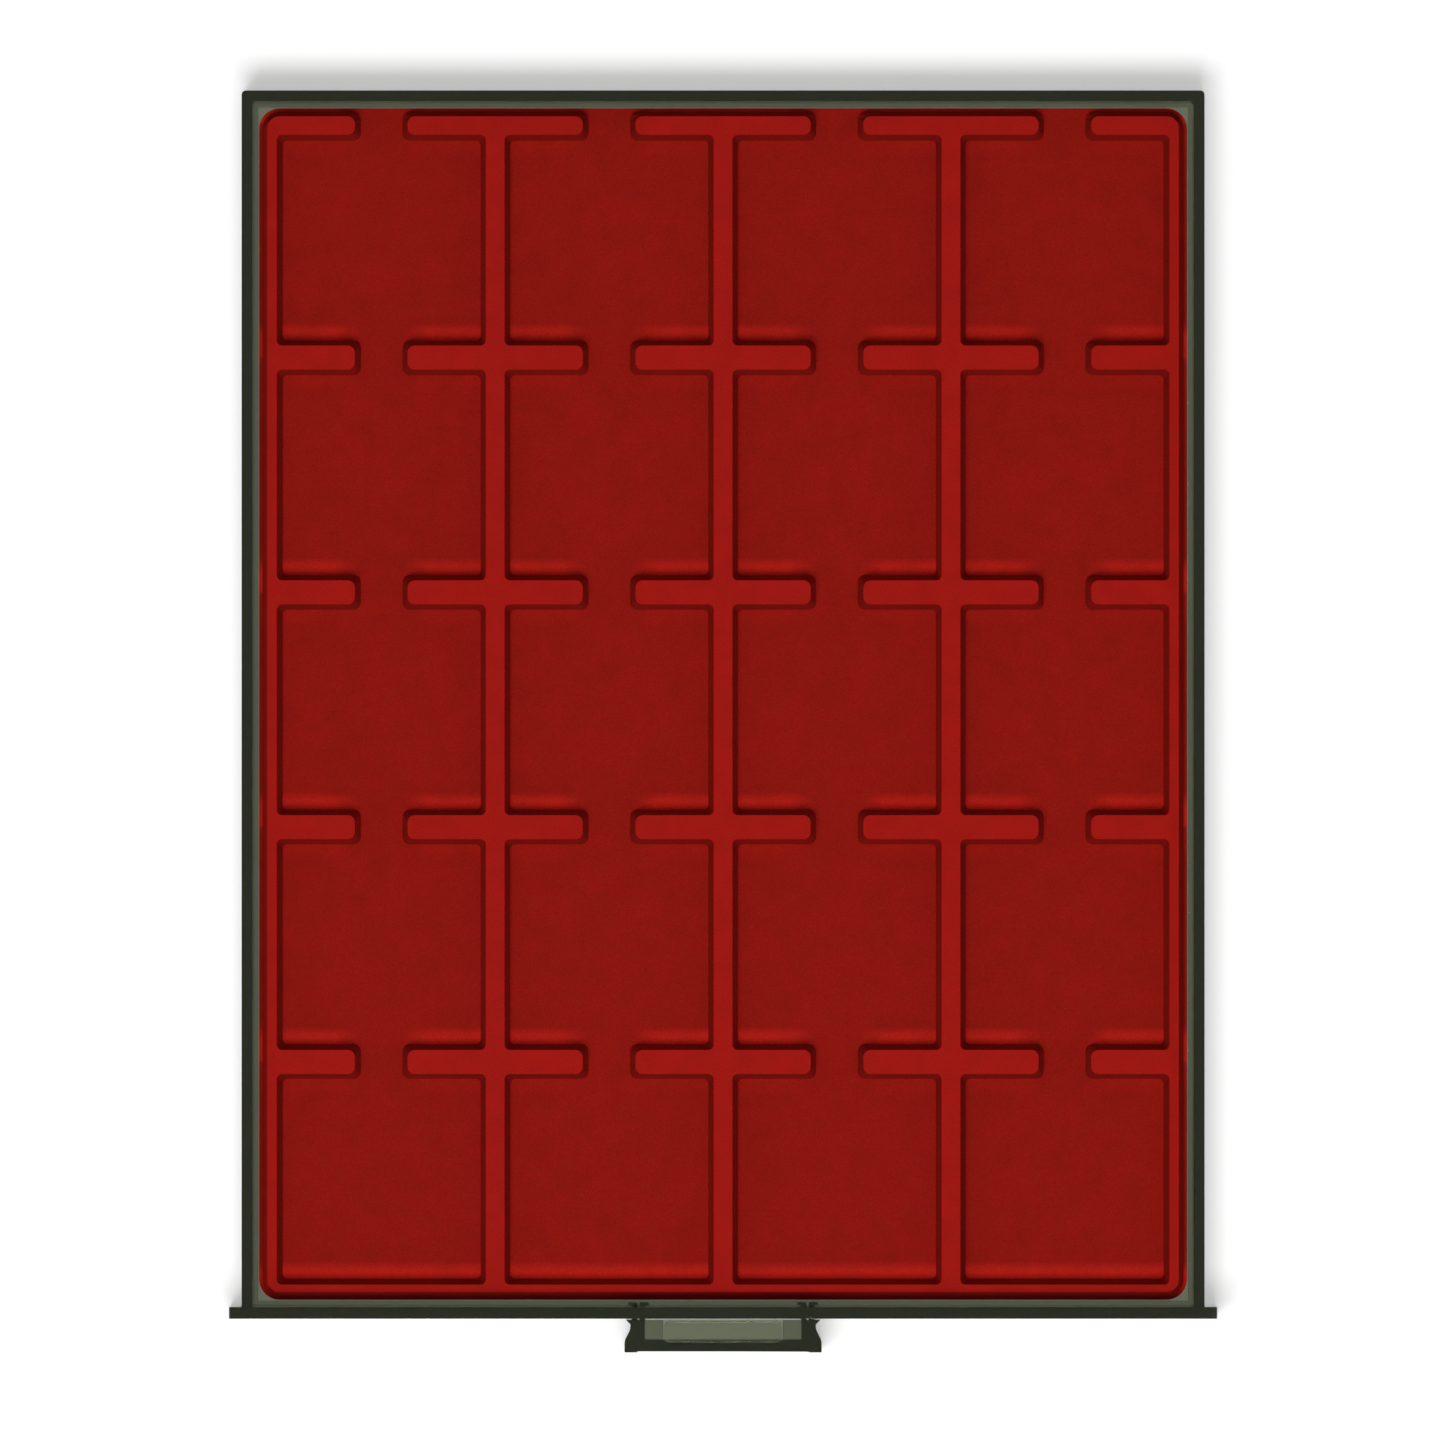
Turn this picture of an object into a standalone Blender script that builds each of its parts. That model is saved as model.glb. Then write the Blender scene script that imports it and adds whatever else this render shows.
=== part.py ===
"""Coin display tray: a pull-out drawer that shows coins in square holders.

A smoke-tinted drawer with a wide front plate carries a lift-out flocked insert, whose
sheet is drawn down into square compartments joined by finger gaps. A pull handle snaps
through two slots of the front plate and carries a bare name plaque.

Units are metres and +Z is up. The front plate faces -Y. The origin is the middle of the
whole tray's footprint, on the surface that the drawer stands on.
"""

import math

import bmesh
import bpy
from mathutils import Matrix, Vector

# Compartments: clear openings, measured between the tops of the ribs
COLUMNS = 4
ROWS = 5
POCKET_WIDTH = 0.0500
POCKET_LENGTH = 0.0504
POCKET_DEPTH = 0.0065
LONG_RIB = 0.0045
CROSS_RIB = 0.00575
FINGER_GAP = 0.0126
WALL_DRAFT = 0.0013
WALL_CORNER = 0.0012

# Insert: one formed sheet with a narrow flange round its foot
SHEET = 0.0008
SIDE_MARGIN = 0.00435
FRONT_MARGIN = 0.0038
REAR_MARGIN = 0.0065
INSERT_FLANGE = 0.0008
INSERT_CORNER = 0.0050
INSERT_CLEARANCE = 0.0003

# Drawer moulding
FLOOR = 0.0020
KERB_HEIGHT = 0.0008
KERB_WIDTH = 0.0010
SIDE_WALL = 0.0026
REAR_WALL = 0.0026
FRONT_WALL = 0.0028
BODY_HEIGHT = 0.0160
REAR_CORNER = 0.0010
INNER_CORNER = 0.0005
PLATE_RISE = 0.0030
PLATE_OVERHANG = 0.0030
PLATE_CORNER = 0.0010
PLATE_FILLET = 0.0007

# Pull handle
HANDLE_REACH = 0.0081
HANDLE_HEIGHT = 0.0140
HOLLOW_WIDTH = 0.0375
LIP = 0.00275
DECK = 0.0022
CHEEK_WAIST = 0.0034
CHEEK_FLARE = 0.0014
CHEEK_FOOT = 0.0011
FLARE_START = 0.0020
FLARE_END = 0.0059
PAD_WIDTH = 0.0031
PAD_STEP = 0.00025

# Snap lugs that hold the handle: two sprung prongs on each
LUG_OFFSET = 0.00145
LUG_HEIGHT = 0.0060
PRONG = 0.0013
PRONG_SLIT = 0.0006
BARB = 0.0009
BARB_LENGTH = 0.0007
BARB_TAPER = 0.0003
LUG_ROOT = 0.0008

# Name plaque, left bare
PLAQUE_LENGTH = 0.0282
PLAQUE_WIDTH = 0.0052
PLAQUE_THICKNESS = 0.0010
PLAQUE_CORNER = 0.0014
PLAQUE_EDGE = 0.0003
RECESS_DEPTH = 0.0009

FIT_GAP = 0.0003
CUT_PAST = 0.0020

# Sizes that follow from the compartments and the walls round them
INSERT_WIDTH = COLUMNS * POCKET_WIDTH + (COLUMNS - 1) * LONG_RIB + 2 * SIDE_MARGIN
INSERT_LENGTH = ROWS * POCKET_LENGTH + (ROWS - 1) * CROSS_RIB + FRONT_MARGIN + REAR_MARGIN
KERB_INNER_WIDTH = INSERT_WIDTH + 2 * INSERT_CLEARANCE
KERB_INNER_LENGTH = INSERT_LENGTH + 2 * INSERT_CLEARANCE
CAVITY_WIDTH = KERB_INNER_WIDTH + 2 * KERB_WIDTH
CAVITY_LENGTH = KERB_INNER_LENGTH + 2 * KERB_WIDTH
BODY_WIDTH = CAVITY_WIDTH + 2 * SIDE_WALL
PLATE_WIDTH = BODY_WIDTH + 2 * PLATE_OVERHANG
DRAWER_LENGTH = FRONT_WALL + CAVITY_LENGTH + REAR_WALL
OVERALL_LENGTH = DRAWER_LENGTH + HANDLE_REACH

# Stations along Y, from the handle's front to the rear wall
PLATE_FRONT = -OVERALL_LENGTH / 2 + HANDLE_REACH
CAVITY_FRONT = PLATE_FRONT + FRONT_WALL
CAVITY_REAR = CAVITY_FRONT + CAVITY_LENGTH
DRAWER_REAR = CAVITY_REAR + REAR_WALL
INSERT_CENTRE = (CAVITY_FRONT + CAVITY_REAR) / 2

# Levels
PLATE_HEIGHT = BODY_HEIGHT + PLATE_RISE
KERB_TOP = FLOOR + KERB_HEIGHT
INSERT_BOTTOM = FLOOR + FIT_GAP
HANDLE_BASE = (PLATE_HEIGHT - HANDLE_HEIGHT) / 2
HANDLE_TOP = HANDLE_BASE + HANDLE_HEIGHT
DECK_UNDERSIDE = HANDLE_TOP - DECK
LUG_BASE = HANDLE_BASE + (HANDLE_HEIGHT - LUG_HEIGHT) / 2

# The handle's hollow behind its lip, and its lugs beside the hollow
HOLLOW_DEPTH = HANDLE_REACH - PAD_STEP - LIP
LUG_SPACING = HOLLOW_WIDTH + 2 * LUG_OFFSET

SMOKE = (0.105, 0.115, 0.075, 1.0)
SMOKE_DARK = (0.075, 0.082, 0.055, 1.0)
RED_FLOCK = (0.27, 0.012, 0.008, 1.0)
SMOOTH_ANGLE = math.radians(35)
FLAT_ANGLE = math.radians(1)


def clear_scene():
    """Remove whatever the scene holds."""
    for item in list(bpy.data.objects):
        bpy.data.objects.remove(item)


def make_material(name, colour, roughness, transmission=0.0, sheen=0.0):
    """A plain Principled material."""
    material = bpy.data.materials.new(name)
    material.use_nodes = True
    shader = material.node_tree.nodes["Principled BSDF"]
    shader.inputs["Base Color"].default_value = colour
    shader.inputs["Metallic"].default_value = 0.0
    shader.inputs["Roughness"].default_value = roughness
    shader.inputs["Transmission Weight"].default_value = transmission
    shader.inputs["Sheen Weight"].default_value = sheen
    return material


def make_object(name, bm, material=None, parent=None, location=(0, 0, 0)):
    """Turn a bmesh into a named object, shaded smooth across its shallow angles."""
    mesh = bpy.data.meshes.new(name)
    bm.to_mesh(mesh)
    bm.free()
    mesh.shade_smooth()
    mesh.set_sharp_from_angle(angle=SMOOTH_ANGLE)
    made = bpy.data.objects.new(name, mesh)
    if material is not None:
        mesh.materials.append(material)
    bpy.context.scene.collection.objects.link(made)
    made.parent = parent
    made.location = location
    return made


def make_tool(name, bm, parent=None, location=(0, 0, 0)):
    """A solid that only cuts or adds to another one."""
    tool = make_object(name, bm, parent=parent, location=location)
    tool.hide_render = True
    tool.display_type = "WIRE"
    return tool


def add_boolean(target, tool, operation):
    """Cut a target with a tool, or add the tool to it."""
    modifier = target.modifiers.new(tool.name, "BOOLEAN")
    modifier.operation = operation
    modifier.object = tool
    modifier.solver = "EXACT"


def box_bmesh(low, high):
    """A closed box between two corners."""
    low = Vector(low)
    high = Vector(high)
    bm = bmesh.new()
    place = Matrix.Translation((low + high) / 2) @ Matrix.Diagonal((*(high - low), 1))
    bmesh.ops.create_cube(bm, size=1, matrix=place)
    return bm


def prism_bmesh(outline, bottom, top):
    """A closed prism that stands on an outline of (x, y) points."""
    bm = bmesh.new()
    face = bm.faces.new([bm.verts.new((x, y, bottom)) for x, y in outline])
    extrude_faces(bm, [face], (0, 0, top - bottom))
    bmesh.ops.recalc_face_normals(bm, faces=bm.faces)
    return bm


def only_verts(geometry):
    """The vertices among mixed bmesh geometry."""
    return [item for item in geometry if isinstance(item, bmesh.types.BMVert)]


def cut_across(bm, point, normal, faces=None):
    """Cut the given faces, or the whole bmesh, along a plane without removing anything."""
    if faces is None:
        faces = bm.faces[:]
    edges = {edge for face in faces for edge in face.edges}
    verts = {vert for face in faces for vert in face.verts}
    geometry = list(verts) + list(edges) + list(faces)
    bmesh.ops.bisect_plane(bm, geom=geometry, plane_co=point, plane_no=normal, dist=1e-7)


def extrude_faces(bm, faces, move):
    """Extrude a patch of faces, leaving no face behind inside the body."""
    edges = {edge for face in faces for edge in face.edges}
    moved = bmesh.ops.extrude_face_region(bm, geom=faces + list(edges))["geom"]
    bmesh.ops.translate(bm, verts=only_verts(moved), vec=move)
    bm.normal_update()


def join_flat_faces(bm):
    """Dissolve the construction lines that lie within flat faces."""
    bmesh.ops.dissolve_limit(
        bm, angle_limit=FLAT_ANGLE, use_dissolve_boundaries=False, verts=bm.verts, edges=bm.edges
    )


def round_edges(bm, edges, radius, segments):
    """Round the chosen edges."""
    bmesh.ops.bevel(
        bm, geom=edges, offset=radius, segments=segments, profile=0.5, affect="EDGES", material=-1
    )


def row_centres():
    """Y of each row of compartments about the insert's middle, from the front."""
    first = -INSERT_LENGTH / 2 + FRONT_MARGIN + POCKET_LENGTH / 2
    return [first + row * (POCKET_LENGTH + CROSS_RIB) for row in range(ROWS)]


def column_centres():
    """X of each column of compartments."""
    middle = (COLUMNS - 1) / 2
    return [(column - middle) * (POCKET_WIDTH + LONG_RIB) for column in range(COLUMNS)]


def is_sunk(point):
    """True where the insert's sheet lies at floor level: in a compartment or a finger gap."""
    beside = min(abs(point.x - centre) for centre in column_centres())
    if beside < FINGER_GAP / 2 - WALL_DRAFT and point.y > row_centres()[0]:
        return True
    along = min(abs(point.y - centre) for centre in row_centres())
    return beside < POCKET_WIDTH / 2 - WALL_DRAFT and along < POCKET_LENGTH / 2 - WALL_DRAFT


def insert_sheet_bmesh():
    """The upper side of the insert: a flat sheet whose ribs and margins are raised."""
    bm = bmesh.new()
    size = Matrix.Diagonal((INSERT_WIDTH, INSERT_LENGTH, 1, 1))
    bmesh.ops.create_grid(bm, x_segments=1, y_segments=1, size=0.5, matrix=size)
    bmesh.ops.bevel(
        bm, geom=bm.verts[:], offset=INSERT_CORNER, segments=5, profile=0.5,
        affect="VERTICES", material=-1,
    )
    sheet = bm.faces[:]
    flange = bmesh.ops.inset_region(
        bm, faces=sheet, thickness=INSERT_FLANGE, use_even_offset=True, use_boundary=True
    )["faces"]
    flange = set(flange)
    half_pocket = Vector((POCKET_WIDTH / 2 - WALL_DRAFT, POCKET_LENGTH / 2 - WALL_DRAFT))
    half_gap = FINGER_GAP / 2 - WALL_DRAFT
    lines_x = [c + side * half for c in column_centres() for half in (half_pocket.x, half_gap)
               for side in (-1, 1)]
    lines_y = [c + side * half_pocket.y for c in row_centres() for side in (-1, 1)]
    for x in lines_x:
        cut_across(bm, (x, 0, 0), (1, 0, 0), [f for f in bm.faces if f not in flange])
    for y in lines_y:
        cut_across(bm, (0, y, 0), (0, 1, 0), [f for f in bm.faces if f not in flange])
    raised = [
        f for f in bm.faces if f not in flange and not is_sunk(f.calc_center_median())
    ]
    bmesh.ops.inset_region(
        bm, faces=raised, thickness=WALL_DRAFT, depth=POCKET_DEPTH,
        use_even_offset=True, use_boundary=True,
    )
    join_flat_faces(bm)
    corners = [edge for edge in bm.edges if is_wall_corner(edge)]
    round_edges(bm, corners, WALL_CORNER, 2)
    return bm


def is_wall_corner(edge):
    """True for the rising edge where two walls of the insert meet at a right angle."""
    rise = abs(edge.verts[0].co.z - edge.verts[1].co.z)
    return rise > POCKET_DEPTH / 2 and edge.calc_face_angle(0) > math.radians(60)


def build_insert(material):
    """The flocked insert, hung from an empty on the line along which it lifts out."""
    lift = bpy.data.objects.new("insert_lift", None)
    bpy.context.scene.collection.objects.link(lift)
    lift.location = (0, INSERT_CENTRE, INSERT_BOTTOM)
    insert = make_object(
        "coin_insert", insert_sheet_bmesh(), material, lift, location=(0, 0, SHEET)
    )
    wall = insert.modifiers.new("sheet", "SOLIDIFY")
    wall.thickness = SHEET
    wall.offset = -1
    wall.use_even_offset = True
    wall.use_quality_normals = True
    return insert


def drawer_bmesh():
    """The drawer moulding: front plate, walls, kerb and floor in one piece."""
    bm = box_bmesh(
        (-PLATE_WIDTH / 2, PLATE_FRONT, 0), (PLATE_WIDTH / 2, CAVITY_FRONT, PLATE_HEIGHT)
    )
    for side in (-1, 1):
        cut_across(bm, (side * BODY_WIDTH / 2, 0, 0), (1, 0, 0))
    cut_across(bm, (0, 0, BODY_HEIGHT), (0, 0, 1))
    back = [f for f in bm.faces if f.normal.y > 0.9 and faces_body(f.calc_center_median())]
    extrude_faces(bm, back, (0, DRAWER_REAR - CAVITY_FRONT, 0))
    for side in (-1, 1):
        cut_across(bm, (side * CAVITY_WIDTH / 2, 0, 0), (1, 0, 0))
    cut_across(bm, (0, CAVITY_REAR, 0), (0, 1, 0))
    mouth = [f for f in bm.faces if f.normal.z > 0.9 and over_cavity(f.calc_center_median())]
    extrude_faces(bm, mouth, (0, 0, KERB_TOP - BODY_HEIGHT))
    ledge = [f for f in bm.faces if f.normal.z > 0.9 and over_cavity(f.calc_center_median())]
    bmesh.ops.inset_region(
        bm, faces=ledge, thickness=KERB_WIDTH, use_even_offset=True, use_boundary=True
    )
    extrude_faces(bm, ledge, (0, 0, -KERB_HEIGHT))
    join_flat_faces(bm)
    round_edges(bm, upright_edges(bm, BODY_WIDTH / 2, DRAWER_REAR), REAR_CORNER, 3)
    round_edges(bm, upright_edges(bm, BODY_WIDTH / 2, CAVITY_FRONT), PLATE_FILLET, 2)
    round_edges(bm, upright_edges(bm, CAVITY_WIDTH / 2, CAVITY_REAR), INNER_CORNER, 2)
    round_edges(bm, upright_edges(bm, CAVITY_WIDTH / 2, CAVITY_FRONT), INNER_CORNER, 2)
    round_edges(bm, [edge for edge in bm.edges if is_plate_corner(edge)], PLATE_CORNER, 3)
    return bm


def faces_body(point):
    """True for the part of the plate's back that the drawer's body grows from."""
    return abs(point.x) < BODY_WIDTH / 2 and point.z < BODY_HEIGHT


def over_cavity(point):
    """True above the space inside the walls, and below the walls' top."""
    inside = abs(point.x) < CAVITY_WIDTH / 2 and CAVITY_FRONT < point.y < CAVITY_REAR
    return inside and point.z < BODY_HEIGHT + FIT_GAP


def upright_edges(bm, x, y):
    """The drawer's upright edges at a distance x to either side and at a station y."""
    found = []
    for edge in bm.edges:
        first, last = (vert.co for vert in edge.verts)
        upright = abs(first.x - last.x) + abs(first.y - last.y) < 1e-6
        if upright and abs(abs(first.x) - x) < 1e-6 and abs(first.y - y) < 1e-6:
            found.append(edge)
    return found


def is_plate_corner(edge):
    """True for the upper corners of the front plate, seen from the front."""
    first, last = (vert.co for vert in edge.verts)
    along_y = abs(first.x - last.x) + abs(first.z - last.z) < 1e-6
    at_end = abs(abs(first.x) - PLATE_WIDTH / 2) < 1e-6
    return along_y and at_end and abs(first.z - PLATE_HEIGHT) < 1e-6


def build_drawer(material):
    """The drawer, with a slot through its front plate for each lug of the handle."""
    drawer = make_object("drawer_tray", drawer_bmesh(), material)
    slot_width = 2 * PRONG + PRONG_SLIT + 2 * FIT_GAP
    for name, side in (("slot_left", -1), ("slot_right", 1)):
        middle = side * LUG_SPACING / 2
        slot = box_bmesh(
            (middle - slot_width / 2, PLATE_FRONT - CUT_PAST, LUG_BASE - FIT_GAP),
            (middle + slot_width / 2, CAVITY_FRONT + CUT_PAST, LUG_BASE + LUG_HEIGHT + FIT_GAP),
        )
        add_boolean(drawer, make_tool(name, slot), "DIFFERENCE")
    return drawer


def cheek_profile():
    """The outer side of a cheek, as (distance from the middle, distance from the plate)."""
    waist = HOLLOW_WIDTH / 2 + CHEEK_WAIST
    points = [(waist + CHEEK_FOOT, FIT_GAP), (waist, FIT_GAP + CHEEK_FOOT)]
    steps = 6
    for step in range(steps + 1):
        share = step / steps
        out = CHEEK_FLARE * (1 - math.cos(math.pi * share)) / 2
        points.append((waist + out, FLARE_START + share * (FLARE_END - FLARE_START)))
    end = waist + CHEEK_FLARE
    points.append((end, HANDLE_REACH))
    points.append((end - PAD_WIDTH, HANDLE_REACH))
    points.append((end - PAD_WIDTH, HANDLE_REACH - PAD_STEP))
    return points


def handle_bmesh():
    """The handle's full outline, before its hollow and the plaque's seat are cut."""
    right = [(x, -reach) for x, reach in cheek_profile()]
    left = [(-x, y) for x, y in reversed(right)]
    return prism_bmesh(right + left, HANDLE_BASE, HANDLE_TOP)


def prong_bmesh(side):
    """One sprung prong, on the +X or -X side of its lug, with its barb behind the wall."""
    inner = side * PRONG_SLIT / 2
    outer = side * (PRONG_SLIT / 2 + PRONG)
    tip = side * (PRONG_SLIT / 2 + PRONG + BARB)
    catch = FRONT_WALL + FIT_GAP
    outline = [
        (inner, -FIT_GAP - LUG_ROOT),
        (outer, -FIT_GAP - LUG_ROOT),
        (outer, catch),
        (tip, catch),
        (tip, catch + BARB_LENGTH - BARB_TAPER),
        (tip - side * BARB_TAPER, catch + BARB_LENGTH),
        (inner, catch + BARB_LENGTH),
    ]
    return prism_bmesh(outline, LUG_BASE, LUG_BASE + LUG_HEIGHT)


def plaque_bmesh(length, width, corner, bottom, top):
    """A flat plate with rounded corners."""
    bm = bmesh.new()
    size = Matrix.Translation((0, 0, bottom)) @ Matrix.Diagonal((length, width, 1, 1))
    bmesh.ops.create_grid(bm, x_segments=1, y_segments=1, size=0.5, matrix=size)
    bmesh.ops.bevel(
        bm, geom=bm.verts[:], offset=corner, segments=5, profile=0.5, affect="VERTICES",
        material=-1,
    )
    extrude_faces(bm, bm.faces[:], (0, 0, top - bottom))
    bmesh.ops.recalc_face_normals(bm, faces=bm.faces)
    return bm


def plaque_centre():
    """Distance from the plate to the plaque's middle line."""
    return FIT_GAP + FIT_GAP + PLAQUE_WIDTH / 2


def build_handle(material):
    """The pull handle, placed by an origin on the front plate's face."""
    face = (0, PLATE_FRONT, 0)
    handle = make_object("grip_handle", handle_bmesh(), material, location=face)
    hollow = box_bmesh(
        (-HOLLOW_WIDTH / 2, -HOLLOW_DEPTH, HANDLE_BASE - CUT_PAST),
        (HOLLOW_WIDTH / 2, CUT_PAST, DECK_UNDERSIDE),
    )
    add_boolean(handle, make_tool("finger_hollow", hollow, location=face), "DIFFERENCE")
    seat = plaque_bmesh(
        PLAQUE_LENGTH + 2 * FIT_GAP, PLAQUE_WIDTH + 2 * FIT_GAP + CUT_PAST,
        PLAQUE_CORNER + FIT_GAP, HANDLE_TOP - RECESS_DEPTH, HANDLE_TOP + CUT_PAST,
    )
    seat_place = (0, PLATE_FRONT - plaque_centre() + CUT_PAST / 2, 0)
    add_boolean(handle, make_tool("plaque_seat", seat, location=seat_place), "DIFFERENCE")
    for lug, lug_side in (("left", -1), ("right", 1)):
        for prong, side in (("a", -1), ("b", 1)):
            place = (lug_side * LUG_SPACING / 2, PLATE_FRONT, 0)
            tool = make_tool(f"prong_{lug}_{prong}", prong_bmesh(side), location=place)
            add_boolean(handle, tool, "UNION")
    return handle


def build_plaque(material):
    """The bare name plaque in its seat on the handle's deck."""
    bottom = HANDLE_TOP - RECESS_DEPTH + FIT_GAP
    bm = plaque_bmesh(
        PLAQUE_LENGTH, PLAQUE_WIDTH, PLAQUE_CORNER, bottom, bottom + PLAQUE_THICKNESS
    )
    rim = [e for e in bm.edges if all(v.co.z > bottom + PLAQUE_THICKNESS / 2 for v in e.verts)]
    round_edges(bm, rim, PLAQUE_EDGE, 1)
    place = (0, PLATE_FRONT - plaque_centre(), 0)
    return make_object("name_plaque", bm, material, location=place)


def main():
    """Build the tray."""
    clear_scene()
    smoke = make_material("smoke_plastic", SMOKE, 0.12, transmission=0.8)
    smoke_dark = make_material("smoke_plaque", SMOKE_DARK, 0.25, transmission=0.6)
    flock = make_material("red_flock", RED_FLOCK, 0.95, sheen=0.5)
    build_drawer(smoke)
    build_handle(smoke)
    build_plaque(smoke_dark)
    build_insert(flock)


main()
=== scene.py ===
"""Looks of the coin display tray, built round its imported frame.

The tray is a smoke-tinted clear drawer with a pull handle, a bare name plaque and a
lift-out liner of dark red flocked sheet. Units are metres and +Z is up. The front plate
faces -Y.
"""

import logging
import math
from collections.abc import Callable, Iterable
from dataclasses import dataclass, field
from enum import Enum
from typing import Any

import bmesh
import bpy
from mathutils import Matrix, Vector


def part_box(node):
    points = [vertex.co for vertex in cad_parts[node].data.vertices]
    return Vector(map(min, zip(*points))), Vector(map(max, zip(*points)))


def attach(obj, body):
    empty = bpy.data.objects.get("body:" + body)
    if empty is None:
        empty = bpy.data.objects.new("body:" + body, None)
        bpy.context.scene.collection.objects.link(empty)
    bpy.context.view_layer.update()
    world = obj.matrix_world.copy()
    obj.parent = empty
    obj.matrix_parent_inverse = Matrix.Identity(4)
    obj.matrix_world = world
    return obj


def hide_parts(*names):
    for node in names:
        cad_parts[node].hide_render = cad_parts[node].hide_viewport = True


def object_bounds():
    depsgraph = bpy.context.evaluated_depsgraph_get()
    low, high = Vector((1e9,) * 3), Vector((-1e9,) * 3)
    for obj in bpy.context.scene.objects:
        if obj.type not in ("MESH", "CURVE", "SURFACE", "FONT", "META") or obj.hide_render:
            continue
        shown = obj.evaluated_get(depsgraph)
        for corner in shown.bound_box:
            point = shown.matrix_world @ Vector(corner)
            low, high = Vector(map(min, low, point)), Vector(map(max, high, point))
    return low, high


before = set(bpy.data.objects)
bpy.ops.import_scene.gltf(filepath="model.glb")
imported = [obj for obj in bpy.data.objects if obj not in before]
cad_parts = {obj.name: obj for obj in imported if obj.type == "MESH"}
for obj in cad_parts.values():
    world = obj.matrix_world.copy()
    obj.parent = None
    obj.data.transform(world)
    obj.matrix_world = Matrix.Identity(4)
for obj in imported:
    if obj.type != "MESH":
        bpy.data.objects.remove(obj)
CAD_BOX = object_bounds()

log = logging.getLogger("coin_tray")

SMOOTH_ANGLE = math.radians(35)
FLAT_ANGLE = math.radians(1)
MERGE_DISTANCE = 1e-6
LEVEL_TOLERANCE = 1e-5


class Body(Enum):
    """The two bodies that move apart."""

    DRAWER = "drawer"
    INSERT = "insert"


class Level(Enum):
    """Which faces of the liner an edge may border."""

    TOP = "rib tops and inner margins"
    RIM = "outer rim of the margins"
    FLOOR = "compartment floors"


Edges = list[bmesh.types.BMEdge]
Faces = list[bmesh.types.BMFace]


def node_box(node: str) -> tuple[Vector, Vector]:
    """Read where a CAD node lies.

    Args:
        node: Name of the CAD node.

    Returns:
        Its lowest and its highest corner.
    """
    low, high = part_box(node)
    return Vector(low), Vector(high)


def cut_across(bm: bmesh.types.BMesh, point: Vector, normal: Vector, faces: Faces) -> None:
    """Cut faces along a plane and remove nothing.

    Args:
        bm: The mesh being shaped.
        point: A point on the plane.
        normal: The plane's normal.
        faces: The faces that the plane may cut.
    """
    edges = {edge for face in faces for edge in face.edges}
    verts = {vert for face in faces for vert in face.verts}
    geometry = [*verts, *edges, *faces]
    bmesh.ops.bisect_plane(bm, geom=geometry, plane_co=point, plane_no=normal, dist=1e-7)


def join_flat_faces(bm: bmesh.types.BMesh) -> None:
    """Dissolve the construction lines that lie within flat faces."""
    bmesh.ops.dissolve_limit(
        bm, angle_limit=FLAT_ANGLE, use_dissolve_boundaries=False, verts=bm.verts, edges=bm.edges
    )


def round_edges(bm: bmesh.types.BMesh, edges: Edges, radius: float, segments: int) -> None:
    """Round the chosen edges.

    Args:
        bm: The mesh being shaped.
        edges: The edges to round.
        radius: How far the rounding reaches from each edge.
        segments: Flats across the rounding.
    """
    bmesh.ops.bevel(
        bm, geom=edges, offset=radius, segments=segments, profile=0.5, affect="EDGES",
        clamp_overlap=True, material=-1,
    )


def moulded_copy(node: str) -> bmesh.types.BMesh:
    """Copy a CAD node's mesh, welded and freed from its triangles.

    Args:
        node: Name of the CAD node.

    Returns:
        The copy, with one face for each flat.
    """
    bm = bmesh.new()
    bm.from_mesh(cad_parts[node].data)
    bmesh.ops.remove_doubles(bm, verts=bm.verts, dist=MERGE_DISTANCE)
    join_flat_faces(bm)
    return bm


def sharp_edges(
    bm: bmesh.types.BMesh, allowed: Callable[[bmesh.types.BMEdge], bool], angle: float
) -> Edges:
    """Find the crisp edges that a mould would leave slightly rounded.

    Args:
        bm: The mesh to look through.
        allowed: Says whether an edge may be rounded.
        angle: Least angle between the two faces, in radians.

    Returns:
        The edges found.
    """
    return [
        edge for edge in bm.edges
        if edge.is_manifold and edge.calc_face_angle(0) > angle and allowed(edge)
    ]


def make_piece(
    name: str, bm: bmesh.types.BMesh, material: bpy.types.Material
) -> bpy.types.Object:
    """Turn a bmesh into a finished piece at the origin, smooth across shallow angles.

    Args:
        name: Name of the piece.
        bm: Its mesh, which is freed.
        material: Its finish.

    Returns:
        The new object.
    """
    mesh = bpy.data.meshes.new(name)
    bmesh.ops.dissolve_degenerate(bm, dist=MERGE_DISTANCE, edges=bm.edges)
    bm.to_mesh(mesh)
    bm.free()
    mesh.shade_smooth()
    mesh.set_sharp_from_angle(angle=SMOOTH_ANGLE)
    mesh.materials.append(material)
    piece = bpy.data.objects.new(name, mesh)
    bpy.context.scene.collection.objects.link(piece)
    flats = piece.modifiers.new("flats", "WEIGHTED_NORMAL")
    flats.weight = 100
    flats.keep_sharp = True
    return piece


def stand_for(piece: bpy.types.Object, node: str, body: Body) -> None:
    """Put a piece in a CAD node's place.

    Args:
        piece: The finished piece.
        node: The CAD node that it replaces.
        body: The body that it moves with.
    """
    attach(piece, body.value)
    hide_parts(node)
    log.info("%s stands for %s on %s, %d faces", piece.name, node, body.value,
             len(piece.data.polygons))


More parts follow.
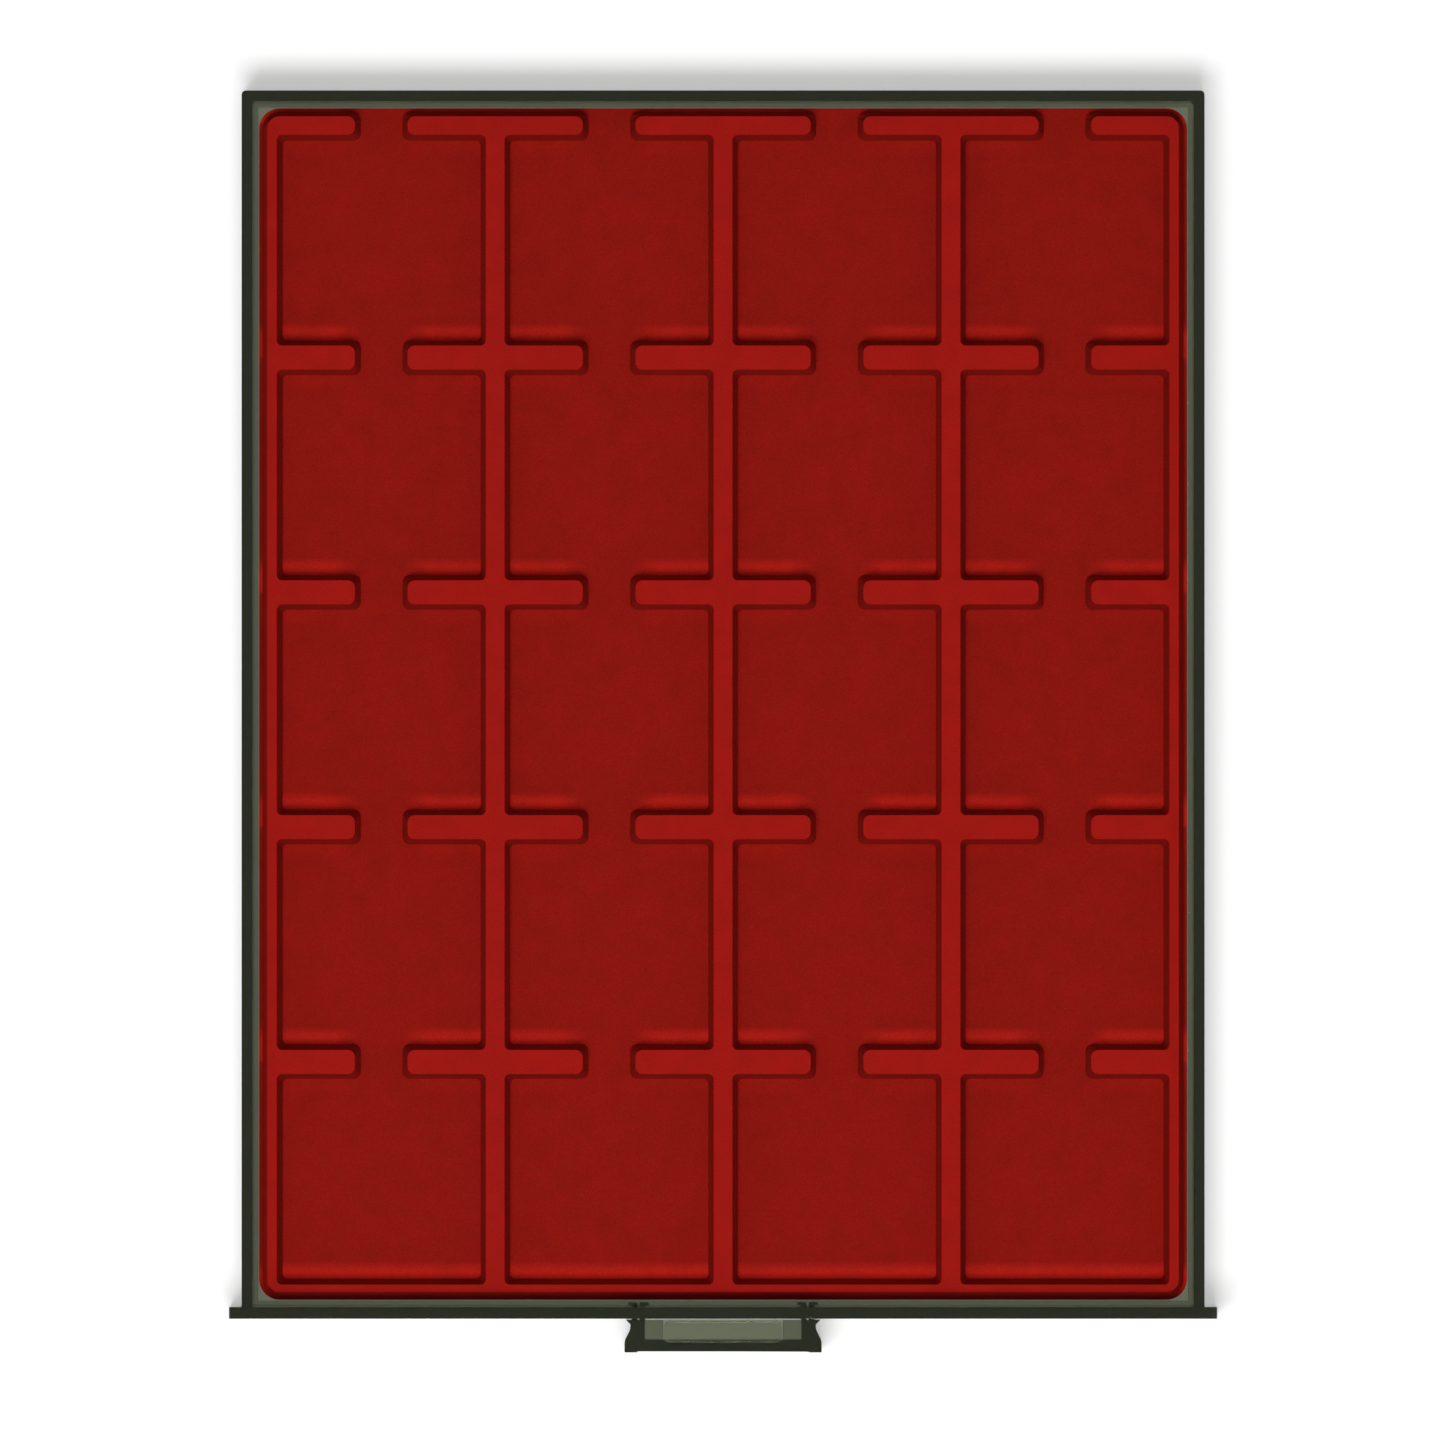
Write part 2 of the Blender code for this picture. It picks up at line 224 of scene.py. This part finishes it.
class NodeGraph:
    """A short way to write a node tree."""

    def __init__(self, tree: bpy.types.NodeTree) -> None:
        """Start from an empty tree."""
        self.tree = tree
        tree.nodes.clear()

    def add(self, kind: str, settings: dict[str, Any] | None = None,
            **sockets: Any) -> bpy.types.Node:
        """Add a node.

        Args:
            kind: Blender's type name of the node.
            settings: Properties to set on the node.
            **sockets: Input values or sources, named as the input with _ for a space.

        Returns:
            The new node.
        """
        node = self.tree.nodes.new(kind)
        for key, value in (settings or {}).items():
            setattr(node, key, value)
        for key, value in sockets.items():
            self.feed(node.inputs[key.replace("_", " ")], value)
        return node

    def feed(self, socket: bpy.types.NodeSocket, value: Any) -> None:
        """Link a socket to its source, or set its value."""
        if isinstance(value, bpy.types.NodeSocket):
            self.tree.links.new(value, socket)
        else:
            socket.default_value = value

    def math(self, operation: str, first: Any, second: Any = 0.0,
             third: Any = 0.0) -> bpy.types.NodeSocket:
        """Combine two or three numbers.

        Args:
            operation: Blender's name of the operation.
            first: A number or a socket.
            second: A number or a socket.
            third: A number or a socket, where the operation has one.

        Returns:
            The result's socket.
        """
        node = self.tree.nodes.new("ShaderNodeMath")
        node.operation = operation
        self.feed(node.inputs[0], first)
        self.feed(node.inputs[1], second)
        self.feed(node.inputs[2], third)
        return node.outputs[0]

    def spread(self, value: Any, old: tuple[float, float],
               new: tuple[float, float]) -> bpy.types.NodeSocket:
        """Map a number from one range to another, clamped.

        Args:
            value: The source socket.
            old: Range of the source.
            new: Range of the result.

        Returns:
            The result's socket.
        """
        node = self.add("ShaderNodeMapRange", Value=value)
        for key, number in zip(("From Min", "From Max", "To Min", "To Max"), (*old, *new)):
            node.inputs[key].default_value = number
        return node.outputs[0]

    def noise(self, coordinates: bpy.types.NodeSocket, grain: float,
              detail: float) -> bpy.types.NodeSocket:
        """Noise whose blotches are of a real size.

        Args:
            coordinates: Where the pattern is read.
            grain: Size of a blotch in metres.
            detail: Octaves.

        Returns:
            The noise value's socket.
        """
        node = self.add("ShaderNodeTexNoise", Vector=coordinates, Scale=1 / grain, Detail=detail)
        return node.outputs[0]

    def blend(self, share: Any, first: Any, second: Any,
              mode: str = "MIX") -> bpy.types.NodeSocket:
        """Mix two colours.

        Args:
            share: How much of the second colour.
            first: A colour or a socket.
            second: A colour or a socket.
            mode: Blender's blend mode.

        Returns:
            The mixed colour's socket.
        """
        node = self.tree.nodes.new("ShaderNodeMix")
        node.data_type = "RGBA"
        node.blend_type = mode
        self.feed(node.inputs[0], share)
        self.feed(node.inputs[6], first)
        self.feed(node.inputs[7], second)
        return node.outputs[2]


def new_material(name: str) -> tuple[bpy.types.Material, NodeGraph]:
    """Make an empty node material.

    Args:
        name: Name of the material.

    Returns:
        The material and the graph to fill.
    """
    material = bpy.data.materials.new(name)
    material.use_nodes = True
    return material, NodeGraph(material.node_tree)


@dataclass(frozen=True)
class Lattice:
    """Where the compartments lie, for a finish that follows them."""

    column: float
    row: float
    column_pitch: float
    row_pitch: float
    half_gap: float
    half_length: float
    half_outer: tuple[float, float]
    centre_y: float
    floor_z: float
    top_z: float


@dataclass(frozen=True)
class FlockFinish:
    """Short dense flock on formed sheet.

    It is lighter on the rib tops, partly as painted shade on the floors, and darker on the
    steep walls with painted shade over their thinner pile. The outer wall gets painted light,
    and a painted glow runs along the feet of the cross ribs.
    """

    name: str = "red_flock"
    # The lighter colour serves rib tops and the outer wall: partly the flock's own tone, partly
    # painted shade on the sunk floors and painted light on the outer wall.
    low_colour: tuple[float, float, float, float] = (0.290, 0.0086, 0.0050, 1.0)
    high_colour: tuple[float, float, float, float] = (0.375, 0.0096, 0.0066, 1.0)
    fibre: float = 0.00032
    nap: float = 0.0055
    sheen: float = 0.12
    bump: float = 0.35
    # Painted shade on the steep walls, partly standing for their thinner pile.
    wall_shade: float = 0.72
    rim_band: float = 0.0023
    # Painted light on the outer wall, brightening it out of the shade beside the drawer wall.
    rim_painted_light: float = 1.25
    # Width, peak and fading of the painted glow along the feet of the cross ribs.
    glow_band: float = 0.0042
    glow_peak: float = 0.0014
    gap_fade: tuple[float, float] = (-0.0010, 0.0050)
    front_fade: float = 0.010
    band_height: tuple[float, float] = (0.0002, 0.0009)
    top_fade: float = 0.0009
    rim_slope: tuple[float, float] = (0.30, 0.95)
    wall_slope: tuple[float, float] = (0.25, 0.85)
    # Strength of the painted glow in front of and behind each cross rib.
    glow_front: float = 0.80
    glow_rear: float = 0.12

    def outer_rim(self, graph: NodeGraph, axes: Any, lattice: Lattice) -> bpy.types.NodeSocket:
        """Find the liner's outer wall, which is spared the painted wall shade and gets painted
        light.

        Args:
            graph: The graph to add to.
            axes: X, Y and Z of the place, in metres.
            lattice: Where the compartments lie.

        Returns:
            A socket that is 1 on the outer wall and 0 inside it.
        """
        from_middle = graph.math("SUBTRACT", axes["Y"], lattice.centre_y)
        across = graph.math("SUBTRACT", graph.math("ABSOLUTE", axes["X"]), lattice.half_outer[0])
        along = graph.math("SUBTRACT", graph.math("ABSOLUTE", from_middle), lattice.half_outer[1])
        inwards = graph.math("MAXIMUM", across, along)
        return graph.spread(inwards, (-self.rim_band - 0.0004, -self.rim_band), (0.0, 1.0))

    def painted_foot_glow(self, graph: NodeGraph, axes: Any, lattice: Lattice) -> bpy.types.NodeSocket:
        """Find the bands along the feet of the cross ribs that carry a painted glow.

        Args:
            graph: The graph to add to.
            axes: X, Y and Z of the place, in metres.
            lattice: Where the compartments lie.

        Returns:
            A socket that is 1 on the plain floor and more in the bands.
        """
        across = graph.math("SUBTRACT", axes["X"], lattice.column)
        along = graph.math("SUBTRACT", axes["Y"], lattice.row)
        half_row = lattice.row_pitch / 2
        across = graph.math("PINGPONG", across, lattice.column_pitch / 2)
        along = graph.math("WRAP", along, half_row, -half_row)
        start = lattice.half_length - self.glow_band
        peak = lattice.half_length - self.glow_peak
        front = graph.spread(along, (-start, -peak), (0.0, self.glow_front))
        rear = graph.spread(along, (start, peak), (0.0, self.glow_rear))
        fade = tuple(lattice.half_gap + reach for reach in self.gap_fade)
        beside_gap = graph.spread(across, fade, (0.0, 1.0))
        front_row = lattice.centre_y - 2 * lattice.row_pitch
        unbroken = graph.spread(
            axes["Y"], (front_row - self.front_fade, front_row), (1.0, 0.0)
        )
        beside_gap = graph.math("MAXIMUM", beside_gap, unbroken)
        heights = tuple(lattice.floor_z + height for height in self.band_height)
        low = graph.spread(axes["Z"], heights, (1.0, 0.0))
        share = graph.math("MULTIPLY", graph.math("ADD", front, rear), beside_gap)
        return graph.math("ADD", graph.math("MULTIPLY", share, low), 1.0)

    def make(self, lattice: Lattice) -> bpy.types.Material:
        """Build the material.

        Args:
            lattice: Where the compartments lie.

        Returns:
            The material.
        """
        material, graph = new_material(self.name)
        place = graph.add("ShaderNodeTexCoord").outputs["Object"]
        axes = graph.add("ShaderNodeSeparateXYZ", Vector=place).outputs
        top = lattice.top_z
        # Rib tops take the lighter colour: partly the flock's own tone, partly painted shade on
        # the sunk floors.
        raised = graph.spread(axes["Z"], (top - self.top_fade, top), (0.0, 1.0))
        upright = graph.add("ShaderNodeSeparateXYZ", Vector=graph.add(
            "ShaderNodeNewGeometry").outputs["True Normal"]).outputs["Z"]
        steep = graph.spread(upright, self.rim_slope, (1.0, 0.0))
        # The outer wall takes the lighter colour: painted light against the shade beside the
        # drawer wall.
        rim = graph.math("MULTIPLY", self.outer_rim(graph, axes, lattice), steep)
        raised = graph.math("MAXIMUM", raised, rim)
        pile = graph.noise(place, self.fibre, 2.0)
        nap = graph.noise(place, self.nap, 3.0)
        ground = graph.blend(raised, self.low_colour, self.high_colour)
        fibre_shade = graph.spread(pile, (0.3, 0.7), (0.86, 1.14))
        nap_shade = graph.spread(nap, (0.3, 0.7), (0.94, 1.06))
        # Painted shade on the steep walls, partly standing for their thinner pile.
        wall_shade_and_rim_light = graph.spread(upright, self.wall_slope, (self.wall_shade, 1.0))
        # The outer wall is spared that shade and brightened instead: painted light.
        wall_shade_and_rim_light = graph.math("MAXIMUM", wall_shade_and_rim_light, graph.math("MULTIPLY", rim, self.rim_painted_light))
        # Painted glow along the feet of the cross ribs.
        painted_glow = self.painted_foot_glow(graph, axes, lattice)
        shade = graph.math("MULTIPLY", fibre_shade, nap_shade)
        shade = graph.math("MULTIPLY", shade, graph.math("MULTIPLY", wall_shade_and_rim_light, painted_glow))
        grey = graph.add("ShaderNodeCombineXYZ", X=shade, Y=shade, Z=shade).outputs[0]
        colour = graph.blend(1.0, ground, grey, "MULTIPLY")
        bump = graph.add("ShaderNodeBump", Strength=self.bump, Distance=0.00012, Height=pile)
        rough = graph.spread(nap, (0.2, 0.8), (0.88, 0.98))
        shader = graph.add(
            "ShaderNodeBsdfPrincipled", Base_Color=colour, Roughness=rough,
            Normal=bump.outputs[0], Sheen_Weight=self.sheen, Sheen_Roughness=0.45,
            Sheen_Tint=(0.75, 0.03, 0.02, 1.0), Specular_IOR_Level=0.05,
        )
        graph.add("ShaderNodeOutputMaterial", Surface=shader.outputs[0])
        return material


@dataclass(frozen=True)
class SmokeFinish:
    """Clear moulding plastic with a smoke tint through its thickness."""

    name: str
    density: float
    tint: tuple[float, float, float, float] = (0.175, 0.220, 0.040, 1.0)
    roughness: tuple[float, float] = (0.03, 0.10)
    ior: float = 1.59
    surface_tint: tuple[float, float, float, float] = (0.46, 0.51, 0.33, 1.0)
    scratch: float = 0.0016
    ripple: float = 0.012

    def make(self) -> bpy.types.Material:
        """Build the material.

        Returns:
            The material, tinted by absorption.
        """
        material, graph = new_material(self.name)
        place = graph.add("ShaderNodeTexCoord").outputs["Object"]
        stretched = graph.add("ShaderNodeMapping", Vector=place, Scale=(1.0, 0.08, 1.0))
        hairline = graph.noise(stretched.outputs[0], self.scratch, 4.0)
        clouds = graph.noise(place, self.ripple, 2.0)
        wear = graph.math("MULTIPLY", hairline, clouds)
        rough = graph.spread(wear, (0.12, 0.42), self.roughness)
        bump = graph.add("ShaderNodeBump", Strength=0.03, Distance=0.00002, Height=clouds)
        shader = graph.add(
            "ShaderNodeBsdfPrincipled", Base_Color=(1.0, 1.0, 1.0, 1.0), Roughness=rough,
            IOR=self.ior, Specular_Tint=self.surface_tint, Transmission_Weight=1.0,
            Normal=bump.outputs[0],
        )
        inside = graph.add("ShaderNodeVolumeAbsorption", Color=self.tint, Density=self.density)
        graph.add(
            "ShaderNodeOutputMaterial", Surface=shader.outputs[0], Volume=inside.outputs[0]
        )
        return material


@dataclass
class CoinInsert:
    """The flocked liner: ribs and margins raised round sunk compartments."""

    columns: int = 4
    rows: int = 5
    pocket_width: float = 0.0500
    pocket_length: float = 0.0504
    long_rib: float = 0.0045
    cross_rib: float = 0.00575
    finger_gap: float = 0.0126
    draft: float = 0.0013
    wall_corner: float = 0.0012
    rib_end: float = 0.0017
    sheet: float = 0.0008
    flange: float = 0.0008
    outer_corner: float = 0.0050
    front_margin: float = 0.0038
    # Short edges beside them hold these three roundings back. A larger value changes nothing.
    top_roll: float = 0.00012
    outer_roll: float = 0.00001
    foot_fillet: float = 0.00012
    finish: FlockFinish = field(default_factory=FlockFinish)

    def __post_init__(self) -> None:
        """Take the place and the overall size from the CAD node."""
        self.rim_reach = self.outer_corner
        self.low, self.high = node_box("coin_insert")
        self.centre_y = (self.low.y + self.high.y) / 2
        self.length = self.high.y - self.low.y
        self.width = self.high.x - self.low.x
        self.floor_z = self.low.z + self.sheet
        self.depth = self.high.z - self.floor_z

    def column_centres(self) -> list[float]:
        """X of each column of compartments."""
        middle = (self.columns - 1) / 2
        pitch = self.pocket_width + self.long_rib
        return [(column - middle) * pitch for column in range(self.columns)]

    def row_centres(self) -> list[float]:
        """Y of each row of compartments, from the front."""
        first = self.low.y + self.front_margin + self.pocket_length / 2
        pitch = self.pocket_length + self.cross_rib
        return [first + row * pitch for row in range(self.rows)]

    def is_sunk(self, point: Vector) -> bool:
        """Say whether the sheet lies low at a point.

        Args:
            point: A point on the sheet.

        Returns:
            True in a compartment or in a finger gap.
        """
        beside = min(abs(point.x - centre) for centre in self.column_centres())
        rows = self.row_centres()
        if beside < self.finger_gap / 2 - self.draft and point.y > rows[0]:
            return True
        along = min(abs(point.y - centre) for centre in rows)
        half_width = self.pocket_width / 2 - self.draft
        half_length = self.pocket_length / 2 - self.draft
        return beside < half_width and along < half_length

    def cut_lattice(self, bm: bmesh.types.BMesh, flange: set[bmesh.types.BMFace]) -> None:
        """Cut the sheet along the feet of the walls.

        Args:
            bm: The flat sheet.
            flange: The rim's faces, which stay whole.
        """
        half_width = self.pocket_width / 2 - self.draft
        half_gap = self.finger_gap / 2 - self.draft
        half_length = self.pocket_length / 2 - self.draft
        for centre in self.column_centres():
            for offset in (-half_width, -half_gap, half_gap, half_width):
                inner = [face for face in bm.faces if face not in flange]
                cut_across(bm, Vector((centre + offset, 0, 0)), Vector((1, 0, 0)), inner)
        for centre in self.row_centres():
            for offset in (-half_length, half_length):
                inner = [face for face in bm.faces if face not in flange]
                cut_across(bm, Vector((0, centre + offset, 0)), Vector((0, 1, 0)), inner)

    def is_wall_corner(self, edge: bmesh.types.BMEdge) -> bool:
        """Say whether two walls meet at a rising edge."""
        rise = abs(edge.verts[0].co.z - edge.verts[1].co.z)
        return rise > self.depth / 2 and edge.calc_face_angle(0) > math.radians(60)

    def upper_sheet(self) -> bmesh.types.BMesh:
        """Form the upper side of the liner.

        Returns:
            The open sheet, in place.
        """
        bm = bmesh.new()
        place = Matrix.Translation((0, self.centre_y, self.floor_z))
        size = place @ Matrix.Diagonal((self.width, self.length, 1, 1))
        bmesh.ops.create_grid(bm, x_segments=1, y_segments=1, size=0.5, matrix=size)
        bmesh.ops.bevel(
            bm, geom=bm.verts[:], offset=self.outer_corner, segments=10, profile=0.5,
            affect="VERTICES", material=-1,
        )
        flange = set(bmesh.ops.inset_region(
            bm, faces=bm.faces[:], thickness=self.flange, use_even_offset=True, use_boundary=True
        )["faces"])
        self.cut_lattice(bm, flange)
        raised = [
            face for face in bm.faces
            if face not in flange and not self.is_sunk(face.calc_center_median())
        ]
        bmesh.ops.inset_region(
            bm, faces=raised, thickness=self.draft, depth=self.depth, use_even_offset=True,
            use_boundary=True,
        )
        join_flat_faces(bm)
        bm.normal_update()
        corners = [edge for edge in bm.edges if self.is_wall_corner(edge)]
        ends = [edge for edge in corners if edge.is_convex]
        inner = [edge for edge in corners if not edge.is_convex]
        round_edges(bm, inner, self.wall_corner, 5)
        round_edges(bm, [edge for edge in ends if edge.is_valid], self.rib_end, 6)
        return bm

    def thicken(self, bm: bmesh.types.BMesh) -> bmesh.types.BMesh:
        """Give the sheet its wall.

        Args:
            bm: The open upper side, which is freed.

        Returns:
            The closed sheet.
        """
        mesh = bpy.data.meshes.new("liner_sheet")
        bm.to_mesh(mesh)
        bm.free()
        blank = bpy.data.objects.new("liner_sheet", mesh)
        bpy.context.scene.collection.objects.link(blank)
        wall = blank.modifiers.new("sheet", "SOLIDIFY")
        wall.thickness = self.sheet
        wall.offset = -1
        wall.use_even_offset = True
        wall.use_quality_normals = True
        view = bpy.context.evaluated_depsgraph_get()
        closed = bmesh.new()
        closed.from_object(blank, view)
        bpy.data.objects.remove(blank)
        bpy.data.meshes.remove(mesh)
        return closed

    def from_rim(self, point: Vector) -> float:
        """Distance from a point inwards to the liner's straight outer sides."""
        half_width, half_length = self.width / 2, self.length / 2
        return min(half_width - abs(point.x), half_length - abs(point.y - self.centre_y))

    def on_flange(self, point: Vector) -> bool:
        """Say whether a point lies on the flange or at the foot of the outer wall."""
        corner = Vector((
            abs(point.x) - (self.width / 2 - self.outer_corner),
            abs(point.y - self.centre_y) - (self.length / 2 - self.outer_corner),
        ))
        if min(corner) > 0:
            return corner.length > self.outer_corner - self.flange - LEVEL_TOLERANCE
        return self.from_rim(point) < self.flange + LEVEL_TOLERANCE

    def borders(self, edge: bmesh.types.BMEdge, level: Level) -> bool:
        """Say whether an edge runs between a wall and one level of the liner.

        Args:
            edge: An edge of the closed sheet.
            level: The level asked for.

        Returns:
            True for such an edge, apart from those of the outer flange.
        """
        height = self.floor_z if level is Level.FLOOR else self.high.z
        if any(abs(vert.co.z - height) > LEVEL_TOLERANCE for vert in edge.verts):
            return False
        flats = [face for face in edge.link_faces if face.normal.z > 0.99]
        if len(flats) != 1 or edge.calc_face_angle(0) < math.radians(30):
            return False
        if level is Level.FLOOR:
            return not any(self.on_flange(vert.co) for vert in edge.verts)
        outer = all(self.from_rim(vert.co) < self.rim_reach for vert in edge.verts)
        return outer is (level is Level.RIM)

    def lattice(self) -> Lattice:
        """Describe the layout to the finish."""
        return Lattice(
            column=self.column_centres()[0], row=self.row_centres()[0],
            column_pitch=self.pocket_width + self.long_rib,
            row_pitch=self.pocket_length + self.cross_rib,
            half_gap=self.finger_gap / 2, half_length=self.pocket_length / 2 - self.draft,
            half_outer=(self.width / 2, self.length / 2), centre_y=self.centre_y,
            floor_z=self.floor_z, top_z=self.high.z,
        )

    def build(self) -> bpy.types.Object:
        """Build and dress the liner.

        Returns:
            The finished piece.
        """
        bm = self.thicken(self.upper_sheet())
        join_flat_faces(bm)
        top = [edge for edge in bm.edges if self.borders(edge, Level.TOP)]
        round_edges(bm, top, self.top_roll, 3)
        bm.normal_update()
        rim = [edge for edge in bm.edges if self.borders(edge, Level.RIM)]
        round_edges(bm, rim, self.outer_roll, 5)
        bm.normal_update()
        foot = [edge for edge in bm.edges if self.borders(edge, Level.FLOOR)]
        round_edges(bm, foot, self.foot_fillet, 3)
        log.info("liner: %d rib-top, %d rim and %d foot edges rounded",
                 len(top), len(rim), len(foot))
        piece = make_piece("flocked_liner", bm, self.finish.make(self.lattice()))
        stand_for(piece, "coin_insert", Body.INSERT)
        return piece


@dataclass
class DrawerShell:
    """The clear drawer with its wide front plate."""

    edge_radius: float = 0.00030
    segments: int = 2
    slot_reach: float = 0.0260
    finish: SmokeFinish = field(
        default_factory=lambda: SmokeFinish(name="drawer_smoke", density=800.0)
    )

    def __post_init__(self) -> None:
        """Take the place from the CAD node."""
        self.low, self.high = node_box("drawer_tray")

    def may_round(self, edge: bmesh.types.BMEdge) -> bool:
        """Leave the lug slots and the facets of rounded corners crisp."""
        near_slots = all(
            abs(vert.co.x) < self.slot_reach and vert.co.y < self.low.y + 0.0030
            and 0.004 < vert.co.z < 0.015 for vert in edge.verts
        )
        return not near_slots and edge.calc_length() > 4 * self.edge_radius

    def build(self) -> bpy.types.Object:
        """Build and dress the drawer.

        Returns:
            The finished piece.
        """
        bm = moulded_copy("drawer_tray")
        edges = sharp_edges(bm, self.may_round, math.radians(60))
        round_edges(bm, edges, self.edge_radius, self.segments)
        log.info("drawer: %d moulded edges rounded", len(edges))
        piece = make_piece("drawer_shell", bm, self.finish.make())
        stand_for(piece, "drawer_tray", Body.DRAWER)
        return piece


@dataclass
class PullHandle:
    """The pull handle with its lip, cheeks and snap lugs."""

    edge_radius: float = 0.00025
    segments: int = 2
    finish: SmokeFinish = field(
        default_factory=lambda: SmokeFinish(name="handle_smoke", density=915.0)
    )

    def __post_init__(self) -> None:
        """Take the place from the CAD node."""
        self.low, self.high = node_box("grip_handle")
        self.plate_face = node_box("drawer_tray")[0].y

    def may_round(self, edge: bmesh.types.BMEdge) -> bool:
        """Leave the lugs and the narrow flats crisp."""
        in_front = all(vert.co.y < self.plate_face - 0.0002 for vert in edge.verts)
        return in_front and edge.calc_length() > 3 * self.edge_radius

    def build(self) -> bpy.types.Object:
        """Build and dress the handle.

        Returns:
            The finished piece.
        """
        bm = moulded_copy("grip_handle")
        edges = sharp_edges(bm, self.may_round, math.radians(60))
        round_edges(bm, edges, self.edge_radius, self.segments)
        log.info("handle: %d moulded edges rounded", len(edges))
        piece = make_piece("pull_handle", bm, self.finish.make())
        stand_for(piece, "grip_handle", Body.DRAWER)
        return piece


@dataclass
class NamePlaque:
    """The bare round-cornered plate on the handle's deck."""

    corner: float = 0.0014
    rim: float = 0.0003
    finish: SmokeFinish = field(
        default_factory=lambda: SmokeFinish(
            name="plaque_smoke", density=590.0, roughness=(0.06, 0.12)
        )
    )

    def __post_init__(self) -> None:
        """Take the place and the size from the CAD node."""
        self.low, self.high = node_box("name_plaque")

    def build(self) -> bpy.types.Object:
        """Build and dress the plaque.

        Returns:
            The finished piece.
        """
        size = self.high - self.low
        middle = (self.low + self.high) / 2
        bm = bmesh.new()
        place = Matrix.Translation(middle) @ Matrix.Diagonal((*size, 1))
        bmesh.ops.create_cube(bm, size=1, matrix=place)
        uprights = [
            edge for edge in bm.edges
            if abs(edge.verts[0].co.z - edge.verts[1].co.z) > size.z / 2
        ]
        round_edges(bm, uprights, self.corner, 10)
        rim = [
            edge for edge in bm.edges
            if all(vert.co.z > middle.z for vert in edge.verts)
        ]
        round_edges(bm, rim, self.rim, 3)
        piece = make_piece("bare_plaque", bm, self.finish.make())
        stand_for(piece, "name_plaque", Body.DRAWER)
        return piece


@dataclass
class Studio:
    """Pale floor, soft light from above and in front, and the camera straight above."""

    floor_size: float = 14.0
    floor_gap: float = 0.0002
    floor_albedo: float = 0.80
    floor_glow: float = 0.38
    dome: float = 0.27
    camera_height: float = 5.0
    sensor: float = 36.0
    frame_width: float = 0.3451
    rim_height: float = 0.016
    centre: tuple[float, float] = (-0.00014, -0.00027)

    def seen_directly(self, graph: NodeGraph) -> bpy.types.NodeSocket:
        """Tell the rays that show the background from those that light the tray.

        Args:
            graph: The graph to add to.

        Returns:
            A socket that is 1 for camera, glossy and transmission rays.
        """
        rays = graph.add("ShaderNodeLightPath").outputs
        shown = graph.math("MAXIMUM", rays["Is Camera Ray"], rays["Is Glossy Ray"])
        return graph.math("MAXIMUM", shown, rays["Is Transmission Ray"])

    def build_world(self) -> None:
        """Light the tray softly from all round, with a white backdrop."""
        world = bpy.data.worlds.new("studio")
        world.use_nodes = True
        bpy.context.scene.world = world
        graph = NodeGraph(world.node_tree)
        white = (1.0, 1.0, 1.0, 1.0)
        lighting = graph.add("ShaderNodeBackground", Color=white, Strength=self.dome)
        backdrop = graph.add("ShaderNodeBackground", Color=white, Strength=1.0)
        mix = graph.tree.nodes.new("ShaderNodeMixShader")
        graph.feed(mix.inputs[0], self.seen_directly(graph))
        graph.feed(mix.inputs[1], lighting.outputs[0])
        graph.feed(mix.inputs[2], backdrop.outputs[0])
        graph.add("ShaderNodeOutputWorld", Surface=mix.outputs[0])

    def build_floor(self) -> None:
        """Lay the floor, which reads white where no shadow falls."""
        material, graph = new_material("studio_floor")
        grey = (self.floor_albedo, self.floor_albedo, self.floor_albedo, 1.0)
        matt = graph.add("ShaderNodeBsdfDiffuse", Color=grey)
        strength = graph.math("MULTIPLY", self.seen_directly(graph), self.floor_glow)
        glow = graph.add("ShaderNodeEmission", Color=(1.0, 1.0, 1.0, 1.0), Strength=strength)
        both = graph.tree.nodes.new("ShaderNodeAddShader")
        graph.feed(both.inputs[0], matt.outputs[0])
        graph.feed(both.inputs[1], glow.outputs[0])
        graph.add("ShaderNodeOutputMaterial", Surface=both.outputs[0])
        bm = bmesh.new()
        place = Matrix.Translation((0, 0, CAD_BOX[0][2] - self.floor_gap))
        bmesh.ops.create_grid(
            bm, x_segments=1, y_segments=1, size=self.floor_size / 2, matrix=place
        )
        make_piece("floor", bm, material)

    def add_lamp(self, name: str, place: Vector, size: tuple[float, float],
                 power: float) -> None:
        """Hang a soft rectangular lamp that faces the tray.

        Args:
            name: Name of the lamp.
            place: Where it hangs.
            size: Its width and height.
            power: Its power in watts.
        """
        light = bpy.data.lights.new(name, "AREA")
        light.shape = "RECTANGLE"
        light.size, light.size_y = size
        light.energy = power
        lamp = bpy.data.objects.new(name, light)
        lamp.location = place
        lamp.rotation_euler = (-place).to_track_quat("-Z", "Y").to_euler()
        bpy.context.scene.collection.objects.link(lamp)

    def build_lamps(self) -> None:
        """Hang one wide soft lamp high up and a little in front."""
        self.add_lamp("key", Vector((-0.25, -0.90, 2.60)), (1.3, 0.9), 50.0)

    def build_camera(self) -> None:
        """Look straight down on the tray from far off."""
        lens = bpy.data.cameras.new("camera")
        lens.sensor_width = self.sensor
        lens.lens = self.sensor * (self.camera_height - self.rim_height) / self.frame_width
        lens.clip_end = 30.0
        camera = bpy.data.objects.new("camera", lens)
        camera.location = (*self.centre, self.camera_height)
        bpy.context.scene.collection.objects.link(camera)
        bpy.context.scene.camera = camera

    def build(self) -> None:
        """Set up the whole studio."""
        self.build_world()
        self.build_floor()
        self.build_lamps()
        self.build_camera()
        bpy.context.scene.view_settings.view_transform = "Standard"
        log.info("studio ready")


def main() -> None:
    """Build every piece and the studio, in order."""
    logging.basicConfig(level=logging.INFO, format="%(name)s: %(message)s")
    DrawerShell().build()
    PullHandle().build()
    NamePlaque().build()
    CoinInsert().build()
    Studio().build()


if __name__ == "__main__":
    main()
